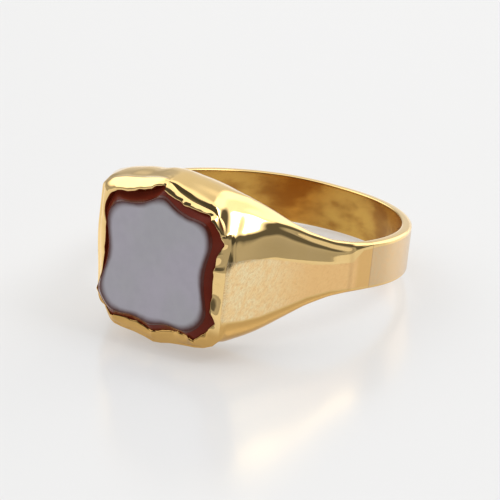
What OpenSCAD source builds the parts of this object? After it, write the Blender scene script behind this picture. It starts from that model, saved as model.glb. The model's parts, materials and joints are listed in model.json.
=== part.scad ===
// Signet-type finger ring with a shield-shaped two-layer agate plaque.
// The ring lies on its side: the hole's axis is near vertical, the face looks to -Y and a little up,
// and the origin is the centre of the finger hole.

/* [Finger hole] */
// Inside diameter of the ring
finger_d = 18.5; // [15:0.1:22]

/* [Band] */
// Thickness of the band at the back
band_t = 0.7; // [0.6:0.05:1.2]
// Height of the band along the finger
band_h = 3.15; // [2.4:0.05:4.5]
// Width of the worn bevel on the band's outer edges
band_edge = 0.12; // [0.05:0.01:0.25]

/* [Head] */
// Width of the head from flank to flank
head_w = 10.8; // [9.8:0.1:12]
// Height of the head along the finger at its crest by the finger hole
head_h = 11.1; // [10.4:0.1:12.5]
// Height of the flat flank where it meets the head
flank_h = 6.4; // [5:0.1:7.5]
// Thickness of the head from the finger hole to its front plane
head_t = 2.85; // [2.5:0.05:3.6]
// Sideways offset of the head from the hole's centre line
head_x = 0.28; // [0:0.02:0.5]
// How far the head's middle lies below the band's middle
head_drop = 0.2; // [0:0.02:0.4]
// Width of the flat lip between the finger hole and the head's flute
crest_w = 0.35; // [0.2:0.05:0.45]
// Depth of the polished flute between the crest and the stone's rim
flute_depth = 0.4; // [0.2:0.05:0.6]

/* [Rim] */
// Width of the gold round the stone's edge on the head's front
rim_w = 0.35; // [0.3:0.05:0.5]
// Set-back of the rubbed-over rim from the head's outer edge
rim_step = 0.08; // [0.04:0.01:0.15]
// Height of the rim above the head's front plane
rim_h = 0.35; // [0.3:0.05:0.5]
// How far the rim is rubbed over the stone's edge
rim_over = 0.15; // [0.1:0.01:0.2]

/* [Stone] */
// Width of the plaque across its lower corners
stone_w = 9.9; // [9.2:0.1:10]
// Height of the plaque along the finger
stone_h = 10.2; // [9.6:0.1:10.4]
// Thickness of the red-brown base layer up to the girdle
girdle_t = 0.8; // [0.6:0.05:1]
// How far the plaque's back is drawn in from its girdle
back_in = 0.4; // [0.3:0.05:0.6]
// Rise of the bevel above the girdle
bevel_h = 0.75; // [0.4:0.05:0.9]
// Width of the bevel, seen from the front
bevel_w = 0.7; // [0.5:0.05:0.9]
// Thickness of the blue-grey top layer
top_t = 0.15; // [0.1:0.05:0.3]

/* [Clearances] */
// Gap between the stone and the gold
stone_gap = 0.06; // [0.04:0.01:0.12]
// Gap between the two layers of the stone
layer_gap = 0.03; // [0.02:0.01:0.06]

/* [Hidden] */

gold = [0.83, 0.62, 0.30];
sard = [0.35, 0.09, 0.07];
blue_grey = [0.60, 0.59, 0.63];

finger_r = finger_d / 2;
band_r = finger_r + band_t;
front = finger_r + head_t;
half_head = head_w / 2;

// The stone's outline, right half from the peak at the top down to the cusp at the bottom:
// share of half the width, share of half the height from the stone's middle, and the bow of the
// side that starts there as a share of half the width (outwards is positive).
OUTLINE = [
    [0.00,  1.00, -0.075],
    [0.82,  0.73,  0.025],
    [0.97,  0.42, -0.095],
    [1.00, -0.63,  0.010],
    [0.69, -0.95, -0.065],
    [0.00, -1.00,  0.000]
];
arc_steps = 6;

// The rim's levels: share of its height above the head's front plane, share of its width
RIM = [[-0.5, 1], [0.5, 1], [0.85, 0.5], [1, 0]];

// The shoulder: angle from the back of the band, share of the way from band to head of the crest's
// height, then the same of the flank's upper edge and of its lower edge.
SHOULDER = [
    [100, 0.00, 0.00, 0.00],
    [110, 0.03, 0.00, 0.00],
    [118, 0.08, 0.02, 0.02],
    [123, 0.14, 0.09, 0.09],
    [128, 0.21, 0.24, 0.24],
    [132, 0.29, 0.42, 0.42],
    [137, 0.39, 0.66, 0.66],
    [141, 0.48, 0.84, 0.84],
    [145, 0.58, 0.93, 0.93],
    [150, 0.68, 0.99, 0.99],
    [154, 0.76, 0.96, 1.00],
    [157, 0.80, 0.70, 1.04],
    [162, 0.88, 0.70, 1.04],
    [171, 0.95, 0.70, 1.04],
    [180, 1.00, 0.70, 1.04]
];

// The stone's outline in X and Z, clockwise from the peak; it grows square to its sides and shrinks
// towards its middle
function bowed(p, q, bow, s) =
    let (mid = (p + q) / 2, out = [-(q - p)[1], (q - p)[0]] / norm(q - p))
    let (c = mid + out * 2 * bow)
    (1 - s) * (1 - s) * p + 2 * s * (1 - s) * c + s * s * q;
function corner(i) = [OUTLINE[i][0] * stone_w / 2, OUTLINE[i][1] * stone_h / 2];
right_side = flat([for (i = [0:len(OUTLINE) - 2])
    [for (k = [0:arc_steps - 1]) bowed(corner(i), corner(i + 1), OUTLINE[i][2] * stone_w / 2, k / arc_steps)]]);
bottom_point = corner(len(OUTLINE) - 1);
outline = concat(right_side, [bottom_point],
                 [for (i = [len(right_side) - 1:-1:1]) [-right_side[i][0], right_side[i][1]]]);
count = len(outline);
function normal_at(i) =
    let (t = outline[(i + 1) % count] - outline[(i + count - 1) % count])
    [-t[1], t[0]] / norm(t);
function grown(d) =
    [for (i = [0:count - 1]) d > 0 ? outline[i] + d * normal_at(i) : outline[i] * (1 + d / norm(outline[i]))];

// Height of the head's front edge over X, a rim's width outside the stone
edge = grown(rim_w);
top_run = 2 * arc_steps;
low_run = 3 * arc_steps;
upper_edge = [for (i = [-top_run:top_run]) edge[(i + count) % count]];
lower_edge = [for (i = [count - low_run:-1:low_run]) edge[i]];

// Angle of the section planes from the back, one side
band_step = 8;
head_step = 3;
shoulder_from = 96;
side_angles = concat([for (a = [0:band_step:shoulder_from - 1]) a],
                     [for (a = [shoulder_from:head_step:177]) a]);
all_angles = concat(side_angles, [180], [for (i = [len(side_angles) - 1:-1:1]) 360 - side_angles[i]]);

// Plan of the ring: side is +1 on the +X side and -1 on the -X side
function side_of(a) = a <= 180 ? 1 : -1;
function fold(a) = a <= 180 ? a : 360 - a;
function corner_x(side) = half_head + side * head_x;
function corner_off(side) = atan2(corner_x(side), front);
function flank_angle(side) = 180 - corner_off(side) - acos(band_r / norm([corner_x(side), front]));
function plan_r(b, side) =
    b >= 180 - corner_off(side) ? front / cos(180 - b) :
    b <= flank_angle(side) ? band_r :
    band_r / cos(b - flank_angle(side));

function column(table, c) = [for (row = table) [row[0], row[c]]];
function mix(a, b, t) = a + (b - a) * t;
function crest_half(b) = mix(band_h / 2, head_h / 2, lookup(b, column(SHOULDER, 1)));
function flank_half(b, c) = mix(band_h / 2 - band_edge, flank_h / 2, lookup(b, column(SHOULDER, c)));
function drop_at(b) = -head_drop * lookup(b, column(SHOULDER, 1));
function on_front(b, side) = b >= 180 - corner_off(side);
function front_x(b, side) = side * front * tan(180 - b) - head_x;
function edge_z(b, side, top) =
    on_front(b, side) ? lookup(front_x(b, side), top ? upper_edge : lower_edge) - head_drop :
    drop_at(b) + (top ? flank_half(b, 2) : -flank_half(b, 3));

// One section: from the inner wall over the upper crest and bevel to the flank, and back below
function bevel(b, side, top, s) =
    let (sign = top ? 1 : -1)
    let (p = [finger_r + crest_w, drop_at(b) + sign * crest_half(b)])
    let (q = [plan_r(b, side), edge_z(b, side, top)])
    let (dip = flute_depth * lookup(b, column(SHOULDER, 1)) * dip_scale * s * (1 - s) * (1 - s))
    [mix(p[0], q[0], s), mix(p[1], q[1], s) - sign * dip];
bevel_shares = [0, 0.2, 0.4, 0.7, 1];
// s * (1 - s)^2 is 4/27 at its highest, so this makes the flute as deep as its named depth
dip_scale = 27 / 4;
// How far the sections reach into the finger hole before it is cut
inner_cut = 0.5;
function section(a) =
    let (b = fold(a), side = side_of(a), z0 = drop_at(b), n = len(bevel_shares))
    concat([[finger_r - inner_cut, z0 + crest_half(b)]],
           [for (s = bevel_shares) bevel(b, side, true, s)],
           [for (i = [n - 1:-1:0]) bevel(b, side, false, bevel_shares[i])],
           [[finger_r - inner_cut, z0 - crest_half(b)]]);
function placed(a) = [for (p = section(a)) [p[0] * sin(a), p[0] * cos(a), p[1]]];

// Triangles between rings of equal length; the rings close on the first one where wrap is true
function flat(lists) = [for (l = lists) for (v = l) v];
function skin(rings, n, wrap) =
    let (last = wrap ? rings - 1 : rings - 2)
    [for (i = [0:last]) for (j = [0:n - 1])
        let (a = i * n + j, b = i * n + (j + 1) % n)
        let (c = ((i + 1) % rings) * n + (j + 1) % n, d = ((i + 1) % rings) * n + j)
        for (t = [[a, b, c], [a, c, d]]) t];

module hoop() {
    rings = [for (a = all_angles) placed(a)];
    polyhedron(flat(rings), skin(len(rings), len(rings[0]), true), convexity = 8);
}

// A loft along Y through the grown outline: each level is [distance from the hole's centre, growth].
// Both ends are fans round the outline's middle.
module loft(levels) {
    rings = [for (l = levels) [for (p = grown(l[1])) [p[0] + head_x, -l[0], p[1] - head_drop]]];
    n = len(rings);
    middles = [for (l = [levels[0], levels[n - 1]]) [head_x, -l[0], -head_drop]];
    bottom = [for (i = [0:count - 1]) [n * count, (i + 1) % count, i]];
    top = [for (i = [0:count - 1]) [n * count + 1, (n - 1) * count + i, (n - 1) * count + (i + 1) % count]];
    polyhedron(concat(flat(rings), middles), concat(skin(n, count, false), bottom, top), convexity = 8);
}

// Levels of the stone, from its back to its face
seat = front - girdle_t;
plateau = front + bevel_h;
bevel_rise = bevel_h / bevel_w;
layer_in = bevel_w - top_t / bevel_rise;

module rim() {
    loft([for (level = RIM) [front + level[0] * rim_h, level[1] * (rim_w - rim_step)]]);
}

module stone_space() {
    lip = front + rim_over * bevel_rise + stone_gap * norm([1, bevel_rise]);
    loft([[seat - stone_gap, stone_gap - back_in], [front - girdle_t / 2, stone_gap],
          [front + stone_gap, stone_gap], [lip, -rim_over], [front + 2 * rim_h, -rim_over]]);
}

// The hole for the finger goes right through
module finger_hole() {
    cylinder(h = 2 * head_h, r = finger_r, center = true, $fn = 96);
}

// The ring as it lies: the lowest line of the head's crest and the back of the band touch the floor
crest_r = finger_r + crest_w;
lie_tilt = atan((head_h / 2 + head_drop - band_h / 2) / (crest_r + band_r));
module lying() {
    rotate([-lie_tilt, 0, 0]) children();
}

module ring_body() {
    color(gold) lying() difference() {
        union() {
            hoop();
            rim();
        }
        stone_space();
        finger_hole();
    }
}

module stone_base() {
    color(sard) lying()
        loft([[seat, -back_in], [front - girdle_t / 2, 0], [front, 0], [plateau - top_t - layer_gap, -layer_in]]);
}

module stone_top() {
    color(blue_grey) lying()
        loft([[plateau - top_t, -layer_in], [plateau, -bevel_w]]);
}

ring_body();
stone_base();
stone_top();
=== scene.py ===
"""A gold signet-type ring with a shield-shaped plaque of two-layer agate, lying on its side.

Shapes are worked out in the ring's own frame, in millimetres: x is sideways, -y is where the face looks,
z is the axis of the finger hole and the origin is the hole's centre. They are then turned as the ring
lies, and made in metres.
"""
import json
import math

import bmesh
import bpy
import numpy as np
from mathutils import Matrix, Vector


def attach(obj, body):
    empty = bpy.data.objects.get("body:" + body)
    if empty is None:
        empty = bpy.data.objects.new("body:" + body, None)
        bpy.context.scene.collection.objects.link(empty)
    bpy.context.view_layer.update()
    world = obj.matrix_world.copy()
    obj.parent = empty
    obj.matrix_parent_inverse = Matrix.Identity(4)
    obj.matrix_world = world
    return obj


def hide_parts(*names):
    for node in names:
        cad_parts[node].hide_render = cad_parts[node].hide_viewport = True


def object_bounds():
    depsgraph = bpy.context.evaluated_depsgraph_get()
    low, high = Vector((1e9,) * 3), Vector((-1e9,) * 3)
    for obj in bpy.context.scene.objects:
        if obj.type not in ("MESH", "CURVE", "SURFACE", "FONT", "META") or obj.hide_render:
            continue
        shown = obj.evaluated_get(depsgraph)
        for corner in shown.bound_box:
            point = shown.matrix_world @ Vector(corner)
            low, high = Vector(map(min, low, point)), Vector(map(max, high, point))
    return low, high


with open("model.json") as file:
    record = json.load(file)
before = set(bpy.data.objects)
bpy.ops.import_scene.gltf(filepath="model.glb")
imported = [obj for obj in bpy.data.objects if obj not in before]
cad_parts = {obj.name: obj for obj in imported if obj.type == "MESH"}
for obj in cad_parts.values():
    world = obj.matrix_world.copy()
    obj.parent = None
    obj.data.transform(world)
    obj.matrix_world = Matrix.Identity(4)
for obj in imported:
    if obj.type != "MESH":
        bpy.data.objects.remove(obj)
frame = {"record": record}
cad_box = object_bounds()

MM = 0.001
BORE = next(m for m in frame["record"]["mounts"] if m["name"] == "finger_hole")
TILT = math.atan2(BORE["axis"][1], BORE["axis"][2])
FLOOR_Z = cad_box[0][2]

# Sizes of the ring in millimetres, as in the solids
FINGER_R = BORE["dims"]["r_mm"]
BAND_R = FINGER_R + 0.7
HALF_HEAD_W = 5.4
HEAD_X = 0.28
FRONT = FINGER_R + 2.85
STONE_X = 0.28
STONE_Z = -0.2
STONE_HALF_W = 4.95
STONE_HALF_H = 5.1
GIRDLE = 0.8
BEVEL_H = 0.75
BEVEL_W = 0.7
TOP_LAYER = 0.15
# Where the base layer's bevel ends: height above the head's front plane, inset from the outline
LAYER_H = BEVEL_H - TOP_LAYER
LAYER_IN = BEVEL_W * LAYER_H / BEVEL_H
# The gap between the stone and the gold round its edge and over its bevel, and the depth of its pocket
POCKET_GAP = 0.03
POCKET_DEPTH = GIRDLE + 0.05

# The upper half by angle from the back over the +X side: height of the inner edge and of the hump beside
# it, the lip's end and the hollow as share of the wall's thickness and height, the height of the outer
# edge (the flank's ridge or the rim's foot), how far it leans in, and the bulge between lip and hollow
UPPER = [
    (100, 1.575, 1.60, 0.60, 1.59, 0.80, 1.56, 1.44, 0.00, 0.00),
    (106, 1.600, 1.62, 0.60, 1.58, 0.80, 1.48, 1.28, 0.02, 0.00),
    (110, 1.690, 1.70, 0.62, 1.61, 0.80, 1.40, 1.08, 0.11, 0.00),
    (118, 1.870, 1.88, 0.55, 1.80, 0.68, 1.62, 1.34, 0.24, 0.00),
    (128, 2.350, 2.42, 0.50, 2.32, 0.64, 2.14, 1.84, 0.38, 0.00),
    (137, 3.030, 3.12, 0.46, 3.02, 0.61, 2.80, 2.44, 0.54, 0.00),
    (143, 3.560, 3.68, 0.48, 3.46, 0.67, 3.16, 2.84, 0.58, 0.00),
    (147.5, 3.90, 4.06, 0.46, 3.72, 0.65, 3.36, 2.89, 0.68, 0.00),
    (150.3, 4.10, 4.28, 0.44, 3.85, 0.57, 3.58, 2.83, 0.81, 0.00),
    (152.3, 4.24, 4.42, 0.43, 3.96, 0.55, 3.68, 2.76, 0.89, 0.00),
    (154.3, 4.38, 4.58, 0.44, 4.06, 0.56, 3.70, 2.64, 0.88, 0.00),
    (155.8, 4.46, 4.66, 0.48, 4.10, 0.61, 3.68, 2.46, 0.55, 0.00),
    (157.2, 4.55, 4.74, 0.54, 4.14, 0.69, 3.64, 2.30, 0.00, 0.00),
    (158.5, 4.62, 4.80, 0.60, 4.20, 0.77, 3.65, 2.82, 0.00, 0.00),
    (160.2, 4.72, 4.90, 0.68, 4.32, 0.89, 3.92, 3.58, 0.00, 0.00),
    (162.4, 4.85, 5.02, 0.72, 4.52, 0.94, 4.26, 3.84, 0.00, 0.00),
    (166, 5.000, 5.16, 0.74, 4.70, 0.96, 4.38, 3.96, 0.00, 0.02),
    (170, 5.130, 5.28, 0.74, 4.88, 0.96, 4.56, 4.10, 0.00, 0.02),
    (175, 5.230, 5.40, 0.74, 5.08, 0.96, 4.86, 4.48, 0.00, 0.02),
    (178, 5.290, 5.49, 0.72, 5.28, 0.95, 5.08, 4.94, 0.00, 0.02),
    (179.5, 5.30, 5.50, 0.70, 5.30, 0.93, 5.12, 5.04, 0.00, 0.02),
    (181, 5.300, 5.50, 0.66, 5.30, 0.88, 5.10, 5.15, 0.00, 0.04),
    (185, 5.250, 5.44, 0.60, 5.22, 0.84, 4.98, 4.95, 0.00, 0.00),
    (190, 5.080, 5.18, 0.58, 5.02, 0.82, 4.76, 4.68, 0.00, 0.00),
    (196, 4.900, 5.04, 0.60, 4.84, 0.82, 4.58, 4.44, 0.00, 0.00),
    (200, 4.720, 4.88, 0.62, 4.64, 0.84, 4.36, 4.14, 0.00, 0.00),
    (203, 4.560, 4.74, 0.62, 4.50, 0.84, 4.20, 3.62, 0.00, 0.00),
    (206, 4.380, 4.58, 0.64, 4.38, 0.84, 4.08, 3.52, 0.08, 0.00),
    (210, 4.140, 4.34, 0.66, 4.24, 0.85, 3.98, 3.55, 0.16, 0.00),
    (215, 3.760, 3.96, 0.68, 3.90, 0.86, 3.74, 3.44, 0.20, 0.00),
    (223, 3.050, 3.16, 0.68, 3.12, 0.86, 3.00, 2.80, 0.20, 0.00),
    (232, 2.350, 2.42, 0.65, 2.34, 0.84, 2.20, 2.00, 0.15, 0.00),
    (245, 1.800, 1.84, 0.60, 1.76, 0.80, 1.62, 1.42, 0.06, 0.00),
    (258, 1.600, 1.63, 0.60, 1.62, 0.80, 1.59, 1.46, 0.00, 0.00),
    (290, 1.680, 1.71, 0.60, 1.70, 0.80, 1.67, 1.54, 0.00, 0.00),
    (335, 1.670, 1.70, 0.60, 1.69, 0.80, 1.66, 1.53, 0.00, 0.00),
    (359, 1.575, 1.60, 0.60, 1.59, 0.80, 1.56, 1.44, 0.00, 0.00),
]

# The lower half by angle from the back, alike on both sides: depth of the inner edge, how far the hump
# stands below it, and depth of the outer edge
LOWER = [
    (100, 1.575, 0.02, 1.44),
    (110, 1.70, 0.02, 1.45),
    (118, 1.91, 0.04, 1.50),
    (128, 2.45, 0.08, 1.85),
    (137, 3.20, 0.16, 2.45),
    (145, 3.99, 0.20, 3.00),
    (150, 4.41, 0.22, 3.22),
    (158, 5.00, 0.20, 3.40),
    (171, 5.54, 0.16, 3.40),
    (180, 5.80, 0.14, 3.40),
]

# The rim's foot below the stone: x and z, from left to right
FOOT_LOW = [
    (-5.00, -3.20), (-4.70, -3.75), (-4.30, -4.30), (-3.85, -4.80), (-3.40, -5.18), (-2.95, -5.42),
    (-2.30, -5.52), (-1.30, -5.58), (-0.40, -5.72), (0.30, -5.88), (0.90, -5.82), (1.60, -5.66),
    (2.50, -5.55), (3.60, -5.46), (4.30, -5.32), (5.00, -5.02), (5.40, -4.60),
]

# The edge of the stone that shows, clockwise from the peak: x, z and the bow of the side that starts
# there (outwards is positive), then the rim's height there
EDGE = [
    (0.05, 4.75, 0.00, 0.30),
    (0.30, 4.35, -0.06, 0.26),
    (2.00, 3.70, 0.00, 0.26),
    (3.70, 3.50, 0.22, 0.20),
    (5.05, 1.80, 0.00, 0.06),
    (4.64, 1.05, -0.20, 0.22),
    (4.76, -2.95, 0.00, 0.22),
    (5.20, -3.30, 0.03, 0.04),
    (3.55, -4.90, 0.00, 0.04),
    (3.20, -4.63, -0.18, 0.26),
    (0.22, -5.10, -0.18, 0.22),
    (-2.80, -4.68, 0.00, 0.26),
    (-2.97, -4.85, 0.10, 0.04),
    (-4.48, -3.37, -0.28, 0.10),
    (-4.47, 2.18, 0.22, 0.30),
    (-3.50, 3.62, 0.02, 0.50),
    (-2.60, 3.68, 0.00, 0.54),
    (-0.79, 4.29, 0.00, 0.50),
    (-0.62, 4.47, 0.03, 0.46),
]

# Waves of the hand-rubbed rim along the stone's edge: waves per turn, reach in mm
RUB_WAVES = [(11, 0.026), (27, 0.022), (43, 0.014)]

# The stone's own outline, right half from the peak down: shares of its half sizes and bow in mm
OUTLINE = [
    (0.00, 1.00, -0.37),
    (0.82, 0.73, 0.12),
    (0.97, 0.42, -0.47),
    (1.00, -0.63, 0.05),
    (0.69, -0.95, -0.32),
    (0.00, -1.00, 0.00),
]

# The flank below its ridge: share of the way down, share of the ridge's lean
FLANK = [
    (0.030, 0.81), (0.070, 0.63), (0.130, 0.47), (0.235, 0.25), (0.310, 0.08),
    (0.350, 0.00), (0.420, 0.00), (0.600, 0.00), (0.780, 0.00), (0.920, 0.00),
]
# The underside: share of the height from the flank to the hump, share of the way in to the hump
UNDERSIDE = [
    (0.16, 0.02), (0.34, 0.05), (0.54, 0.11), (0.70, 0.20), (0.83, 0.34), (0.93, 0.54), (0.98, 0.76),
]
# The rim from its foot to its inner lip: share of its width, share of its height
RIM = [
    (0.07, 0.20), (0.18, 0.42), (0.32, 0.64), (0.48, 0.82), (0.64, 0.94),
    (0.79, 1.00), (0.90, 0.97), (0.97, 0.87), (1.00, 0.72), (1.00, 0.50),
]
# How far the -X flank draws in towards the head's lower corner, from where in the flank's height, and the
# angles from the back over which that starts and ends
TUCK = 0.45
TUCK_DOWN = 0.4
TUCK_STARTS = (128, 156)
TUCK_ENDS = (158, 166)
# How crisp the corner between flank and front is
CORNER_CRISP = 100
# How many degrees past that corner the head's front opens for the rim, and over how many degrees before
# and past it the flank's lower edge turns into the rim's foot
OPENS_AFTER = 0.8
FOOT_BLEND = (1, 2)
# How much rounder the stone's corners get with each mm inwards, in degrees
CORNER_SOFT = 7
# Softness of the crisp edges along the finger hole
EDGE_SOFT = 0.07
# Spacing of the sections from the back to the face: from one angle to another, in steps of so many degrees
SECTION_STEPS = [(0, 100, 1), (100, 152, 0.5), (152, 180, 0.35)]
# Points that the spline makes between two control points, points on each side of the stone's two curves,
# and points round the stone
SPAN = 3
CURVE_STEPS = 24
STONE_POINTS = 360
# Softening along the ring of the tables of the upper and the lower half, in sections
UPPER_SOFT = 2.5
LOWER_SOFT = 4
# Edges sharper than this stay crisp, in degrees
SHARP_EDGE = 40

# What each point of the gold tells its material: brushed share, inner-wall share, angle from the back in
# degrees, the same on both sides, and share of painted shade on the underside
FINISHES = ("brushed", "inner", "turn", "low")
# Slant of the brush strokes on the flank, in radians
SLANT = 0.5
# Where the brushing on the flank ends above: angle from the back, height
BRUSHED_TOP = [
    (96, 1.30), (104, 1.20), (109, 0.42), (118, 0.36), (127, 0.42), (134, 0.66), (143, 0.93),
    (150, 0.98), (156, 0.80),
]
# The angle from the back where the brushing ends before the head
BRUSHED_END = 158
# Between these heights the rim's foot turns from its underside to its sides, and its painted underside shade
# fades out
RIM_UNDERSIDE = (-4.4, -3.4)
# Tones of the brushed gold, one after the other from the head towards the back: the angle from the back
# where each begins, the angle where it has taken over, and its colour
SATIN = [
    (150, 125, (0.94, 0.60, 0.26, 1)),
    (108.0, 105.0, (0.82, 0.51, 0.19, 1)),
    (99.6, 99.0, (0.74, 0.54, 0.31, 1)),
]
# Solder seams: angle from the back, half width in degrees, strength
SEAMS = [(99.2, 0.45, 0.5), (109.5, 1.8, 0.3)]

# Studio light by elevation above the horizon: degrees, brightness
SKY = [(0, 0.40), (6, 0.46), (9, 0.50), (15, 0.12), (31, 0.12), (38, 1.40), (90, 1.40)]
# Panels of the light tent in the part's frame, each over the ones before it: azimuth from the front
# towards +X, half width, elevation, half height, softness, all in degrees, then brightness
PANELS = [
    (-160, 34, 24, 46, 20, 0.80),
    (168, 28, 30, 36, 14, 1.90),
    (-88, 52, 36, 26, 16, 1.95),
    (28, 64, 48, 32, 8, 0.07),
    (58, 32, 12, 11, 6, 0.45),
    (112, 18, 53, 14, 5, 6.00),
]

# The camera in the part's frame: where it looks from, what it looks at, how far off, and its lens
CAMERA_AZIMUTH = math.radians(35.413)
CAMERA_ELEVATION = math.radians(24.383)
CAMERA_ROLL = math.radians(-0.465)
CAMERA_TARGET = Vector((-0.0909, -1.4087, -1.0885)) * MM
CAMERA_DISTANCE = 300 * MM
CAMERA_LENS = 320.4
CAMERA_SENSOR = 36
# How far the floor reaches to each side, in metres
FLOOR_REACH = 3.0


def lying(points):
    """Ring frame in millimetres to the part's frame in metres"""
    p = np.asarray(points, float)
    c, s = math.cos(TILT), math.sin(TILT)
    x, y, z = p[..., 0], p[..., 1], p[..., 2]
    return np.stack([x, y * c + z * s, z * c - y * s], -1) * MM


def soften(values, width):
    """Running Gaussian mean along a closed row of values"""
    reach = int(width * 3) + 1
    k = np.exp(-0.5 * (np.arange(-reach, reach + 1) / width) ** 2)
    k /= k.sum()
    padded = np.concatenate([values[-reach:], values, values[:reach]])
    return np.convolve(padded, k, "valid")


def smooth_step(value, start, end):
    """0 before start, 1 after end, smooth between"""
    t = np.clip((value - start) / (end - start), 0, 1)
    return t * t * (3 - 2 * t)


def mix(a, b, t):
    """The value at share t of the way from a to b"""
    return a + (b - a) * t


def bowed(p, q, bow, n):
    """n points from p towards q along a shallow arc"""
    p, q = np.array(p, float), np.array(q, float)
    along = q - p
    out = np.array([-along[1], along[0]]) / np.linalg.norm(along)
    t = np.arange(n)[:, None] / n
    return p + along * t + out * 4 * bow * t * (1 - t)


def polar(xz):
    """Angle from up and distance of points round the stone's middle"""
    return np.column_stack([np.arctan2(xz[:, 0], xz[:, 1]), np.hypot(xz[:, 0], xz[:, 1])])


def edge_curve():
    """The visible edge as (angle, distance, rim height) round the stone's middle"""
    rows = []
    for here, then in zip(EDGE, EDGE[1:] + EDGE[:1]):
        xz = bowed(here[:2], then[:2], here[2], CURVE_STEPS) - (STONE_X, STONE_Z)
        height = mix(here[3], then[3], np.arange(CURVE_STEPS) / CURVE_STEPS)
        rows.append(np.column_stack([polar(xz), height]))
    rows = np.vstack(rows)
    return rows[np.argsort(rows[:, 0])]


def outline_curve():
    """The stone's own outline as (angle, distance) round its middle"""
    size = np.array([STONE_HALF_W, STONE_HALF_H])
    rows = []
    for here, then in zip(OUTLINE, OUTLINE[1:]):
        rows.append(bowed(np.array(here[:2]) * size, np.array(then[:2]) * size, here[2], CURVE_STEPS))
    right = np.vstack(rows + [np.array([[0, -STONE_HALF_H]])])
    both = polar(np.vstack([right, right[1:-1] * (-1, 1)]))
    return both[np.argsort(both[:, 0])]


def around(curve, column, angle):
    """A column of a curve at the given angles"""
    return np.interp(angle, curve[:, 0], curve[:, column], period=2 * math.pi)


EDGE_CURVE = edge_curve()
STONE_CURVE = outline_curve()


def plan(angles):
    """Distance from the axis to the outside of band, flank and front, with a narrow rounding between
    flank and front, and the angle of that corner from the back"""
    b = np.minimum(angles, 2 * math.pi - angles)
    corner_x = HALF_HEAD_W + np.where(angles <= math.pi, 1, -1) * HEAD_X
    corner_off = np.arctan2(corner_x, FRONT)
    flank = math.pi - corner_off - np.arccos(BAND_R / np.hypot(corner_x, FRONT))
    on_flank = np.where(b > flank, np.cos(b - flank), 1) / BAND_R
    on_front = np.maximum(np.cos(math.pi - b), 0) / FRONT
    radius = (on_flank ** CORNER_CRISP + on_front ** CORNER_CRISP) ** (-1 / CORNER_CRISP)
    return radius, math.pi - corner_off


def columns():
    """Angles of the section planes from the back, all the way round: finer at shoulders and head"""
    side = np.radians(np.concatenate([np.arange(*steps) for steps in SECTION_STEPS]))
    return np.concatenate([side, [math.pi], 2 * math.pi - side[:0:-1]])


def table_columns(table, degrees, width):
    """The columns of a table at the given angles, softened along them"""
    table = np.array(table, float)
    return [soften(np.interp(degrees, table[:, 0], table[:, c]), width) for c in range(1, table.shape[1])]


def control_sections(angles):
    """Control points (distance, height) of every section, closed, from the inner wall over the top;
    the rows of the upper and lower outer edge; and which sections the head's open front takes"""
    degrees = np.degrees(angles)
    folded = np.degrees(np.minimum(angles, 2 * math.pi - angles))
    upper = table_columns(UPPER, degrees, UPPER_SOFT)
    edge_z, hump_z, lip_s, lip_z, hollow_s, hollow_z, outer_z, lean, bulge = upper
    low_edge, low_hump, low_outer = table_columns(LOWER, folded, LOWER_SOFT)
    r_plan, corner = plan(angles)
    corner = np.degrees(corner)
    front = folded > corner + OPENS_AFTER
    on_front = smooth_step(folded, corner - FOOT_BLEND[0], corner + FOOT_BLEND[1])
    thick = r_plan - FINGER_R
    tuck = TUCK * (angles > math.pi)
    tuck = tuck * smooth_step(folded, *TUCK_STARTS) * (1 - smooth_step(folded, *TUCK_ENDS))
    foot = np.array(FOOT_LOW)
    foot_z = np.interp(r_plan * np.sin(angles), foot[:, 0], foot[:, 1])
    low_z = mix(-low_outer, foot_z, on_front)

    def at(share):
        return FINGER_R + share * thick

    inner = FINGER_R + 0 * thick
    rows = [(inner, edge_z * 0.5), (inner, edge_z * 0.9), (inner, edge_z - EDGE_SOFT),
            (inner + EDGE_SOFT * 0.4, edge_z - EDGE_SOFT * 0.2),
            (at(lip_s * 0.28), mix(edge_z, hump_z, 0.75)), (at(lip_s * 0.55), hump_z),
            (at(lip_s * 0.80), mix(hump_z, lip_z, 0.42)), (at(lip_s), lip_z),
            (at(mix(lip_s, hollow_s, 0.5)), mix(lip_z, hollow_z, 0.5) + bulge),
            (at(hollow_s), hollow_z),
            (mix(at(hollow_s), r_plan - lean, 0.5), mix(hollow_z, outer_z, 0.5)),
            (r_plan - lean, outer_z)]
    top_row = len(rows) - 1
    for down, share in FLANK:
        r_side = r_plan - lean * share - tuck * smooth_step(down, TUCK_DOWN, 1.0)
        rows.append((r_side, mix(outer_z, low_z, down)))
    low_row = len(rows)
    rows.append((r_plan - tuck, low_z))
    low_peak = -low_edge - low_hump
    r_peak = at(0.4)
    for down, share in UNDERSIDE:
        r_side = mix(r_plan - tuck, r_peak, share)
        z_side = mix(low_z, low_peak, down)
        z_front = mix(foot_z, low_peak, share)
        rows.append((r_side, mix(z_side, z_front, on_front)))
    rows += [(r_peak, low_peak), (at(0.2), mix(-low_edge, low_peak, 0.75)),
             (inner + EDGE_SOFT * 0.4, -low_edge + EDGE_SOFT * 0.2), (inner, -low_edge + EDGE_SOFT),
             (inner, -low_edge * 0.9), (inner, -low_edge * 0.5), (inner, 0 * inner)]
    control = np.stack([np.stack([r, z], -1) for r, z in rows], 1)
    return control, top_row, low_row, front


def spline_rows(control, per):
    """Closed cubic B-spline through each section: (columns, rows, 2)"""
    n = control.shape[1]
    out = []
    for k in range(n):
        p = [control[:, (k + d) % n] for d in (-1, 0, 1, 2)]
        for i in range(per):
            t = i / per
            weights = ((1 - t) ** 3 / 6, (3 * t ** 3 - 6 * t ** 2 + 4) / 6,
                       (-3 * t ** 3 + 3 * t ** 2 + 3 * t + 1) / 6, t ** 3 / 6)
            out.append(sum(w * q for w, q in zip(weights, p)))
    return np.stack(out, 1)


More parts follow.
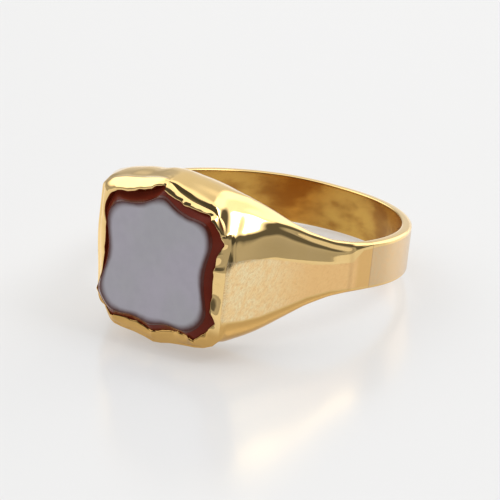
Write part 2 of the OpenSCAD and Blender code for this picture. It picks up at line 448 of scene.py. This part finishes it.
def rim_rows(loop):
    """Rows of the rim from the loop of foot points in (x, y, z) towards the stone and round its edge"""
    dx, dz = loop[:, 0] - STONE_X, loop[:, 2] - STONE_Z
    angle = np.arctan2(dx, dz)
    r_foot = np.hypot(dx, dz)
    r_edge = around(EDGE_CURVE, 1, angle)
    for k, (waves, reach) in enumerate(RUB_WAVES):
        r_edge = r_edge + reach * np.sin(waves * angle + k)
    under = np.clip(around(STONE_CURVE, 1, angle) - r_edge, 0, BEVEL_W)
    height = np.maximum(around(EDGE_CURVE, 2, angle), under * BEVEL_H / BEVEL_W + POCKET_GAP)

    def row(r, y):
        return np.column_stack([STONE_X + r * np.sin(angle), y, STONE_Z + r * np.cos(angle)])

    rows = [row(mix(r_foot, r_edge, s), mix(loop[:, 1], -FRONT, s) - height * h) for s, h in RIM]
    # under the rim's lip, down the pocket's wall and along its floor
    r_wall = np.maximum(around(STONE_CURVE, 1, angle) + POCKET_GAP, r_edge + 0.01)
    pocket = ((r_edge, 0.05), (r_wall, -0.02), (r_wall, -0.5), (r_wall - 0.4, -POCKET_DEPTH),
              (r_wall * 0.4, -POCKET_DEPTH))
    return rows + [row(r, 0 * r - FRONT - rise) for r, rise in pocket]


def quads(here, then):
    """Faces between two closed loops of points"""
    return list(zip(here, here[1:] + here[:1], then[1:] + then[:1], then))


def fan(loop, middle):
    """Faces from a closed loop of points to one in its middle"""
    return [(a, b, middle) for a, b in zip(loop, loop[1:] + loop[:1])]


def gold_mesh():
    """The gold body as one closed surface: the hoop, open at the head's front, and the rim that closes it.
    Returns points, faces and each point's finish, in the order of FINISHES"""
    angles = columns()
    control, top_row, low_row, front = control_sections(angles)
    sections = spline_rows(control, SPAN)
    top, low = top_row * SPAN, low_row * SPAN
    n, m = sections.shape[:2]
    r, z = sections[..., 0], sections[..., 1]
    points = list(np.stack([r * np.sin(angles)[:, None], r * np.cos(angles)[:, None], z], -1).reshape(-1, 3))
    first, last = np.flatnonzero(front)[[0, -1]]
    faces = []
    for i in range(n):
        k = (i + 1) % n
        for j in range(m):
            if not (first <= i < last and top <= j < low):
                up = (j + 1) % m
                faces.append((i * m + j, k * m + j, k * m + up, i * m + up))
    # the opening's edge: over the top from the +X side to the -X side, down and back below
    loop = [i * m + top for i in range(first, last)]
    loop += [last * m + j for j in range(top, low)]
    loop += [i * m + low for i in range(last, first, -1)]
    loop += [first * m + j for j in range(low, top, -1)]
    for row in rim_rows(np.array([points[v] for v in loop])):
        here = list(range(len(points), len(points) + len(loop)))
        points += list(row)
        faces += quads(loop, here)
        loop = here
    faces += fan(loop, len(points))
    points.append(np.array([STONE_X, POCKET_DEPTH - FRONT, STONE_Z]))
    used = sorted({v for f in faces for v in f})
    index = {v: i for i, v in enumerate(used)}
    finish = np.zeros((len(points), len(FINISHES)))
    finish[:n * m] = gold_finish(angles, sections).reshape(-1, len(FINISHES))
    rim_z = np.array(points[n * m:])[:, 2]
    # painted shade on the rim's underside, fading out up its sides
    finish[n * m:, FINISHES.index("low")] = 1 - smooth_step(rim_z, *RIM_UNDERSIDE)
    faces = [tuple(index[v] for v in f) for f in faces]
    return np.array([points[v] for v in used]), faces, finish[used]


def gold_finish(angles, sections):
    """The finish of every point of the sections, in the order of FINISHES"""
    folded = np.degrees(np.minimum(angles, 2 * math.pi - angles))[:, None]
    r, z = sections[..., 0], sections[..., 1]
    outside = smooth_step(r - FINGER_R, 0.35, 0.5)
    border = np.array(BRUSHED_TOP, float)
    limit = np.interp(folded, border[:, 0], border[:, 1])
    lower = np.array(LOWER, float)
    depth = np.interp(folded, lower[:, 0], lower[:, 3])
    brushed = outside * smooth_step(limit - z, -0.05, 0.12) * smooth_step(BRUSHED_END - folded, 0, 2)
    brushed = brushed * smooth_step(z + depth, 0.0, 0.12)
    inner = smooth_step(FINGER_R + 0.03 - r, 0, 0.02)
    turn = folded + 0 * r
    # painted shade: share of darker colour on the underside, below the flank's lower edge
    low = outside * (1 - smooth_step(z + depth, -0.12, 0.12))
    return np.stack([brushed, inner, turn, low], -1)


def make_object(name, points, faces):
    """A mesh object from points in the ring's frame, smooth but for its sharp edges"""
    mesh = bpy.data.meshes.new(name)
    mesh.from_pydata([tuple(p) for p in lying(points)], [], faces)
    mesh.validate()
    work = bmesh.new()
    work.from_mesh(mesh)
    bmesh.ops.recalc_face_normals(work, faces=work.faces)
    work.to_mesh(mesh)
    work.free()
    mesh.shade_smooth()
    mesh.set_sharp_from_angle(angle=math.radians(SHARP_EDGE))
    piece = bpy.data.objects.new(name, mesh)
    bpy.context.scene.collection.objects.link(piece)
    return piece


def store(piece, name, values):
    """One number for each point, for the material to read"""
    layer = piece.data.attributes.new(name, "FLOAT", "POINT")
    layer.data.foreach_set("value", np.ascontiguousarray(values, dtype=np.float32))


def stone_mesh(levels):
    """A closed lofted plate: levels of (inset from the outline, height above the head's front plane).
    Returns points, faces and each point's inset"""
    angle = np.linspace(-math.pi, math.pi, STONE_POINTS, endpoint=False)
    outline = around(STONE_CURVE, 1, angle)
    points, faces, insets, loops = [], [], [], []
    for inset, height in levels:
        r = soften(outline, 0.6 + CORNER_SOFT * inset) - inset
        x, z = STONE_X + r * np.sin(angle), STONE_Z + r * np.cos(angle)
        loops.append(list(range(len(points), len(points) + STONE_POINTS)))
        points += list(np.column_stack([x, 0 * r - FRONT - height, z]))
        insets += [inset] * STONE_POINTS
    for here, then in zip(loops, loops[1:]):
        faces += quads(here, then)
    closings = ((loops[0], *levels[0]), (loops[-1], STONE_HALF_W, levels[-1][1]))
    for loop, inset, height in closings:
        faces += fan(loop, len(points))
        points.append(np.array([STONE_X, -FRONT - height, STONE_Z]))
        insets.append(inset)
    return np.array(points), faces, np.array(insets)


def between(start, end, n):
    """n levels from one (inset, height) pair to another"""
    return [(mix(start[0], end[0], t), mix(start[1], end[1], t)) for t in np.linspace(0, 1, n)]


class Nodes:
    """Short forms for building a node tree"""

    def __init__(self, tree):
        self.tree = tree

    def add(self, kind, **settings):
        made = self.tree.nodes.new(kind)
        for key, value in settings.items():
            setattr(made, key, value)
        return made

    def put(self, socket, value):
        """Link a socket, or set a plain value"""
        if isinstance(value, bpy.types.NodeSocket):
            self.tree.links.new(value, socket)
        else:
            socket.default_value = value

    def math(self, operation, *values):
        made = self.add("ShaderNodeMath", operation=operation)
        for socket, value in zip(made.inputs, values):
            self.put(socket, value)
        return made.outputs[0]

    def remap(self, value, start, end, low=0.0, high=1.0):
        made = self.add("ShaderNodeMapRange", interpolation_type="SMOOTHSTEP")
        for socket, given in zip(made.inputs, (value, start, end, low, high)):
            self.put(socket, given)
        return made.outputs[0]

    def blend(self, share, a, b):
        made = self.add("ShaderNodeMix", data_type="RGBA")
        self.put(made.inputs["Factor"], share)
        self.put(made.inputs[6], a)
        self.put(made.inputs[7], b)
        return made.outputs[2]

    def attribute(self, name):
        return self.add("ShaderNodeAttribute", attribute_name=name).outputs["Fac"]

    def band(self, value, middle, reach, top):
        """A soft line where value is near the middle"""
        away = self.math("ABSOLUTE", self.math("SUBTRACT", value, middle))
        return self.remap(away, reach, 0.0, 0.0, top)

    def ring_mm(self, stretch=(1, 1, 1), slant=0.0):
        """The place in the ring's frame in millimetres, stretched for streaks and slanted"""
        turned = self.add("ShaderNodeMapping")
        turned.inputs["Rotation"].default_value = (TILT + slant, 0, 0)
        self.put(turned.inputs["Vector"], self.add("ShaderNodeTexCoord").outputs["Object"])
        sized = self.add("ShaderNodeMapping")
        sized.inputs["Scale"].default_value = tuple(v / MM for v in stretch)
        self.put(sized.inputs["Vector"], turned.outputs[0])
        return sized.outputs[0]

    def noise(self, place, scale, detail=3.0):
        made = self.add("ShaderNodeTexNoise")
        self.put(made.inputs["Vector"], place)
        made.inputs["Scale"].default_value = scale
        made.inputs["Detail"].default_value = detail
        return made.outputs["Fac"]

    def bump(self, height, distance_mm, strength):
        made = self.add("ShaderNodeBump")
        made.inputs["Distance"].default_value = distance_mm * MM
        made.inputs["Strength"].default_value = strength
        self.put(made.inputs["Height"], height)
        return made.outputs[0]


def new_material(name):
    """A material, its nodes and the inputs of its shader"""
    material = bpy.data.materials.new(name)
    material.use_nodes = True
    nodes = Nodes(material.node_tree)
    return material, nodes, material.node_tree.nodes["Principled BSDF"].inputs


def satin_colour(nodes, turn, streaks):
    """Brushed gold: cream by the head, then the tones of SATIN, with grain and streaks over them"""
    mottle = nodes.noise(nodes.ring_mm((1, 1, 0.45), SLANT), 3.2, 9.0)
    satin = nodes.blend(nodes.remap(mottle, 0.32, 0.66), (1.00, 0.72, 0.36, 1), (1.00, 0.82, 0.48, 1))
    for start, end, colour in SATIN:
        satin = nodes.blend(nodes.remap(turn, start, end), satin, colour)
    grain = nodes.noise(nodes.ring_mm((1, 1, 0.55), SLANT), 8.0, 6.0)
    satin = nodes.blend(nodes.remap(grain, 0.45, 0.68, 0.0, 0.45), satin, (0.86, 0.50, 0.20, 1))
    return nodes.blend(nodes.remap(streaks, 0.48, 0.72, 0.0, 0.40), satin, (0.84, 0.50, 0.22, 1))


def polished_colour(nodes):
    """Bright gold with wide, faint clouds"""
    clouds = nodes.noise(nodes.ring_mm(), 0.9)
    return nodes.blend(clouds, (0.92, 0.64, 0.26, 1), (0.95, 0.68, 0.31, 1))


def inner_wall_shade_colour(nodes):
    """Amber with darker patches, painted shade and bounce tint for the wall of the finger hole"""
    patches = nodes.noise(nodes.ring_mm((0.5, 0.5, 0.9)), 0.55, 4.0)
    return nodes.blend(nodes.remap(patches, 0.42, 0.62), (0.70, 0.42, 0.10, 1), (0.44, 0.21, 0.045, 1))


def gold_colour(nodes, brushed, inner, streaks):
    """The gold's polished and brushed skins, the amber painted shade of the finger hole's wall, painted
    shade darkening the underside, and its solder seams
    """
    turn = nodes.attribute("turn")
    skin = nodes.blend(brushed, polished_colour(nodes), satin_colour(nodes, turn, streaks))
    # painted shade and bounce tint on the finger hole's wall
    skin = nodes.blend(inner, skin, inner_wall_shade_colour(nodes))
    # painted shade: the underside darkened, where it reflects the shadowed floor under the ring
    skin = nodes.blend(nodes.attribute("low"), skin, (0.66, 0.40, 0.13, 1))
    seams = nodes.math("MAXIMUM", *[nodes.band(turn, *seam) for seam in SEAMS])
    seams = nodes.math("MULTIPLY", seams, nodes.math("SUBTRACT", 1.0, inner))
    return nodes.blend(seams, skin, (0.55, 0.33, 0.15, 1))


def gold_material():
    """Polished gold, brushed on the flanks with a ragged border, with amber painted shade inside the finger
    hole
    """
    material, nodes, shader = new_material("gold")
    inner = nodes.attribute("inner")
    streaks = nodes.noise(nodes.ring_mm((4.0, 4.0, 0.5), SLANT), 5.0, 5.0)
    ragged = nodes.math("MULTIPLY_ADD", streaks, 0.5, nodes.attribute("brushed"))
    brushed = nodes.remap(ragged, 0.50, 0.95)
    nodes.put(shader["Base Color"], gold_colour(nodes, brushed, inner, streaks))
    shader["Metallic"].default_value = 1.0
    rough = nodes.math("MULTIPLY_ADD", brushed, 0.14, 0.06)
    nodes.put(shader["Roughness"], nodes.math("MULTIPLY_ADD", inner, 0.2, rough))
    scratches = nodes.remap(nodes.noise(nodes.ring_mm((9.0, 9.0, 0.35), -SLANT), 2.0, 2.0), 0.62, 0.70)
    lines = nodes.math("SUBTRACT", nodes.math("ADD", streaks, nodes.math("MULTIPLY", scratches, 0.5)), 0.5)
    lines = nodes.math("MULTIPLY", lines, brushed)
    nodes.put(shader["Normal"], nodes.bump(lines, 0.015, 0.6))
    return material


def polish_agate(shader, specular):
    """The polish of both layers, each with its own strength of reflection"""
    shader["Roughness"].default_value = 0.12
    shader["IOR"].default_value = 1.54
    shader["Specular IOR Level"].default_value = specular


def sard_material():
    """Dark red-brown, with a faint glow that stands in for light in the stone"""
    material, nodes, shader = new_material("sard")
    clouds = nodes.noise(nodes.ring_mm(), 0.8)
    nodes.put(shader["Base Color"], nodes.blend(clouds, (0.085, 0.010, 0.005, 1), (0.135, 0.020, 0.010, 1)))
    polish_agate(shader, 0.06)
    shader["Emission Color"].default_value = (0.06, 0.010, 0.005, 1)
    shader["Emission Strength"].default_value = 0.5
    return material


def top_layer_material():
    """Blue-grey, thin and brown at its edge, where the base shows through"""
    material, nodes, shader = new_material("blue_grey")
    mottle = nodes.noise(nodes.ring_mm(), 1.6, 5.0)
    wide = nodes.noise(nodes.ring_mm(), 0.25)
    grey = nodes.blend(nodes.remap(wide, 0.3, 0.7), (0.56, 0.525, 0.60, 1), (0.53, 0.52, 0.56, 1))
    grey = nodes.blend(nodes.remap(mottle, 0.3, 0.75, 0.0, 0.3), grey, (0.46, 0.44, 0.50, 1))
    inset = nodes.math("ADD", nodes.attribute("inset"), nodes.math("MULTIPLY", mottle, 0.16))
    inside = nodes.remap(inset, 0.72, 1.25)
    nodes.put(shader["Base Color"], nodes.blend(inside, (0.09, 0.016, 0.008, 1), grey))
    polish_agate(shader, 0.25)
    return material


def sky_light(nodes, elevation):
    """The light by elevation alone, from SKY"""
    ramp = nodes.add("ShaderNodeValToRGB")
    nodes.put(ramp.inputs["Fac"], nodes.math("DIVIDE", elevation, 90))
    stops = ramp.color_ramp.elements
    while len(stops) < len(SKY):
        stops.new(0.5)
    for stop, (height, bright) in zip(stops, SKY):
        stop.position = height / 90
        stop.color = (bright, bright, bright, 1)
    return ramp.outputs["Color"]


def world_light():
    """Light by direction: a pale horizon, a dark ring, a bright ceiling, and the tent's panels"""
    world = bpy.data.worlds.new("studio")
    bpy.context.scene.world = world
    world.use_nodes = True
    nodes = Nodes(world.node_tree)
    direction = nodes.add("ShaderNodeTexCoord").outputs["Generated"]
    split = nodes.add("ShaderNodeSeparateXYZ")
    nodes.put(split.inputs[0], direction)
    elevation = nodes.math("DEGREES", nodes.math("ARCSINE", split.outputs["Z"]))
    flat = nodes.add("ShaderNodeCombineXYZ")
    nodes.put(flat.inputs["X"], split.outputs["X"])
    nodes.put(flat.inputs["Y"], split.outputs["Y"])
    level = nodes.add("ShaderNodeVectorMath", operation="NORMALIZE")
    nodes.put(level.inputs[0], flat.outputs[0])
    light = sky_light(nodes, elevation)
    for azimuth, half_width, height, half_height, soft, bright in PANELS:
        facing = nodes.add("ShaderNodeVectorMath", operation="DOT_PRODUCT")
        nodes.put(facing.inputs[0], level.outputs[0])
        turn = math.radians(azimuth)
        facing.inputs[1].default_value = (math.sin(turn), -math.cos(turn), 0)
        aside = nodes.math("DEGREES", nodes.math("ARCCOSINE", facing.outputs["Value"]))
        above = nodes.math("ABSOLUTE", nodes.math("SUBTRACT", elevation, height))
        share = nodes.math("MULTIPLY", nodes.remap(aside, half_width, half_width - soft),
                           nodes.remap(above, half_height, half_height - soft))
        light = nodes.blend(share, light, (bright, bright, bright, 1))
    nodes.put(world.node_tree.nodes["Background"].inputs["Color"], light)


def make_floor():
    """A pale, satin floor under the ring that glows faintly"""
    mesh = bpy.data.meshes.new("floor")
    sides = ((-1, -1), (1, -1), (1, 1), (-1, 1))
    corners = [(x * FLOOR_REACH, y * FLOOR_REACH, FLOOR_Z) for x, y in sides]
    mesh.from_pydata(corners, [], [(0, 1, 2, 3)])
    floor = bpy.data.objects.new("floor", mesh)
    bpy.context.scene.collection.objects.link(floor)
    material, _, shader = new_material("floor")
    shader["Base Color"].default_value = (0.40, 0.40, 0.40, 1)
    shader["Emission Color"].default_value = (1.0, 0.995, 0.985, 1)
    shader["Emission Strength"].default_value = 0.40
    shader["Roughness"].default_value = 0.20
    shader["IOR"].default_value = 1.6
    mesh.materials.append(material)


def make_camera():
    """The camera at the photograph's view"""
    azimuth, elevation = CAMERA_AZIMUTH, CAMERA_ELEVATION
    flat = math.cos(elevation)
    back = Vector((math.sin(azimuth) * flat, -math.cos(azimuth) * flat, math.sin(elevation)))
    level = Vector((math.cos(azimuth), math.sin(azimuth), 0))
    right = level * math.cos(CAMERA_ROLL) + back.cross(level) * math.sin(CAMERA_ROLL)
    up = back.cross(right)
    data = bpy.data.cameras.new("camera")
    data.lens = CAMERA_LENS
    data.sensor_width = CAMERA_SENSOR
    data.clip_start = 0.01
    camera = bpy.data.objects.new("camera", data)
    place = CAMERA_TARGET + back * CAMERA_DISTANCE
    turned = Matrix((right, up, back)).transposed().to_4x4()
    camera.matrix_world = Matrix.Translation(place) @ turned
    bpy.context.scene.collection.objects.link(camera)
    bpy.context.scene.camera = camera


def finished(piece, material, node):
    """Give a piece its material and say what it rides on and replaces"""
    piece.data.materials.append(material)
    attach(piece, "root")
    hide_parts(node)


def make_gold():
    """The gold body, with its finish stored for the material"""
    points, faces, finish = gold_mesh()
    gold = make_object("gold_body", points, faces)
    for column, name in enumerate(FINISHES):
        store(gold, name, finish[:, column])
    finished(gold, gold_material(), "ring_body")


def make_stone_base():
    """The lower layer: from its underside up the girdle and the bevel"""
    levels = between((0.4, -GIRDLE), (0.02, -0.35), 4)
    levels += [(0.0, -0.3), (0.0, -0.05), (0.02, 0.0)]
    levels += between((0.05, 0.03), (LAYER_IN, LAYER_H - 0.01), 8)
    points, faces, _ = stone_mesh(levels)
    base = make_object("stone_base_layer", points, faces)
    finished(base, sard_material(), "stone_base")


def make_stone_top():
    """The upper layer: from the base up the rest of the bevel and in over the face"""
    levels = [(LAYER_IN + 0.01, LAYER_H)]
    levels += between((LAYER_IN + 0.02, LAYER_H + 0.01), (BEVEL_W - 0.03, BEVEL_H - 0.02), 5)
    levels += [(BEVEL_W + 0.02, BEVEL_H - 0.003)]
    levels += [(BEVEL_W + inset, BEVEL_H) for inset in (0.07, 0.15, 0.25, 0.35, 0.5, 0.8)]
    points, faces, insets = stone_mesh(levels)
    top = make_object("stone_top_layer", points, faces)
    store(top, "inset", insets)
    finished(top, top_layer_material(), "stone_top")


make_camera()
world_light()
make_floor()
bpy.context.scene.view_settings.view_transform = "Standard"
make_gold()
make_stone_base()
make_stone_top()
